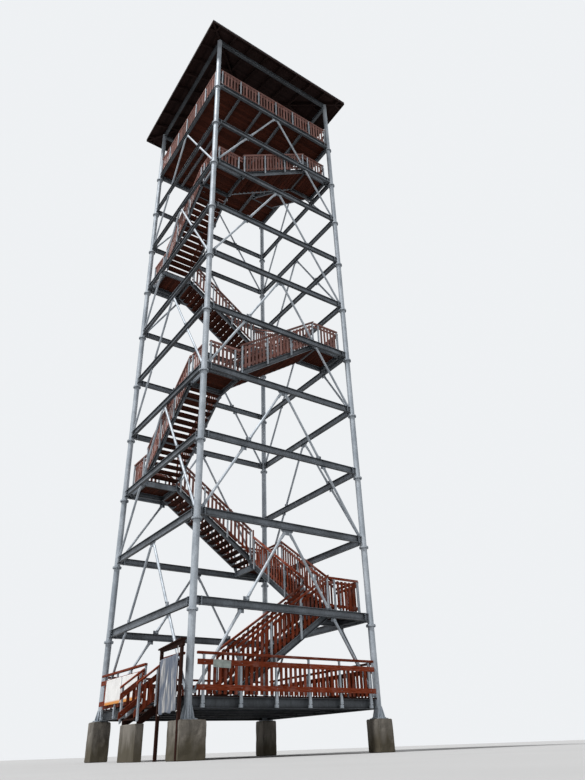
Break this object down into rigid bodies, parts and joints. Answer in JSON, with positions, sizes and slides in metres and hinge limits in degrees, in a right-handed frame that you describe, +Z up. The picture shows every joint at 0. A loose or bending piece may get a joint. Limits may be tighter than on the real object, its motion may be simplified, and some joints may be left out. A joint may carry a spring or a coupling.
{
  "type": "fire lookout tower",
  "caption": "Tall square steel lookout tower on four tube legs, with a stair winding up inside, timber balustrades, a ground deck and a roofed platform.",
  "frame": {"origin": "on the front leg's axis, at the underside of its footing, the lowest point of the tower", "axes": "+Z up. +X runs along the front right face, from the front leg to the right leg. +Y runs along the front left face, from the front leg to the left leg, past the entrance steps"},
  "size_m": [8.42, 8.37, 33.585],
  "materials": {
    "concrete": "cast concrete, weathered",
    "galvanised_steel": "hot-dip galvanised, dull",
    "stained_timber": "red-brown stained softwood boards",
    "floor_boards": "dark stained softwood boards",
    "dark_timber": "dark stained square timber",
    "white_sheet": "white printed sheet, plain",
    "roof_timber": "near-black stained rafters",
    "roof_covering": "near-black stained boards under a dark sheet"
  },
  "bodies": {
    "root": {"footings": "concrete", "leg_front": "galvanised_steel", "leg_right": "galvanised_steel", "leg_back": "galvanised_steel", "leg_left": "galvanised_steel", "beams_front_right": "galvanised_steel", "beams_back_right": "galvanised_steel", "beams_back_left": "galvanised_steel", "beams_front_left": "galvanised_steel", "braces": "galvanised_steel", "flight_1": "galvanised_steel", "flight_2": "galvanised_steel", "flight_3": "galvanised_steel", "flight_4": "galvanised_steel", "flight_5": "galvanised_steel", "flight_6": "galvanised_steel", "flight_7": "galvanised_steel", "flight_8": "galvanised_steel", "flight_9": "galvanised_steel", "flight_10": "galvanised_steel", "landing_1": "galvanised_steel", "landing_2": "galvanised_steel", "landing_3": "galvanised_steel", "landing_4": "galvanised_steel", "landing_5": "galvanised_steel", "landing_6": "galvanised_steel", "landing_7": "galvanised_steel", "landing_8": "galvanised_steel", "landing_9": "galvanised_steel", "balustrade_1": "stained_timber", "balustrade_2": "stained_timber", "balustrade_3": "stained_timber", "balustrade_4": "stained_timber", "balustrade_5": "stained_timber", "balustrade_6": "stained_timber", "balustrade_7": "stained_timber", "balustrade_8": "stained_timber", "balustrade_9": "stained_timber", "balustrade_10": "stained_timber", "deck_beams": "galvanised_steel", "deck_floor": "floor_boards", "deck_balustrade": "stained_timber", "entrance_steps": "floor_boards", "entrance_balustrade": "stained_timber", "notice_board": "dark_timber", "banner": "white_sheet", "platform_joists": "galvanised_steel", "platform_floor": "floor_boards", "platform_balustrade": "stained_timber", "roof_beams": "galvanised_steel", "rafters": "roof_timber", "fascia": "roof_timber", "roof": "roof_covering"}
  },
  "joints": []
}
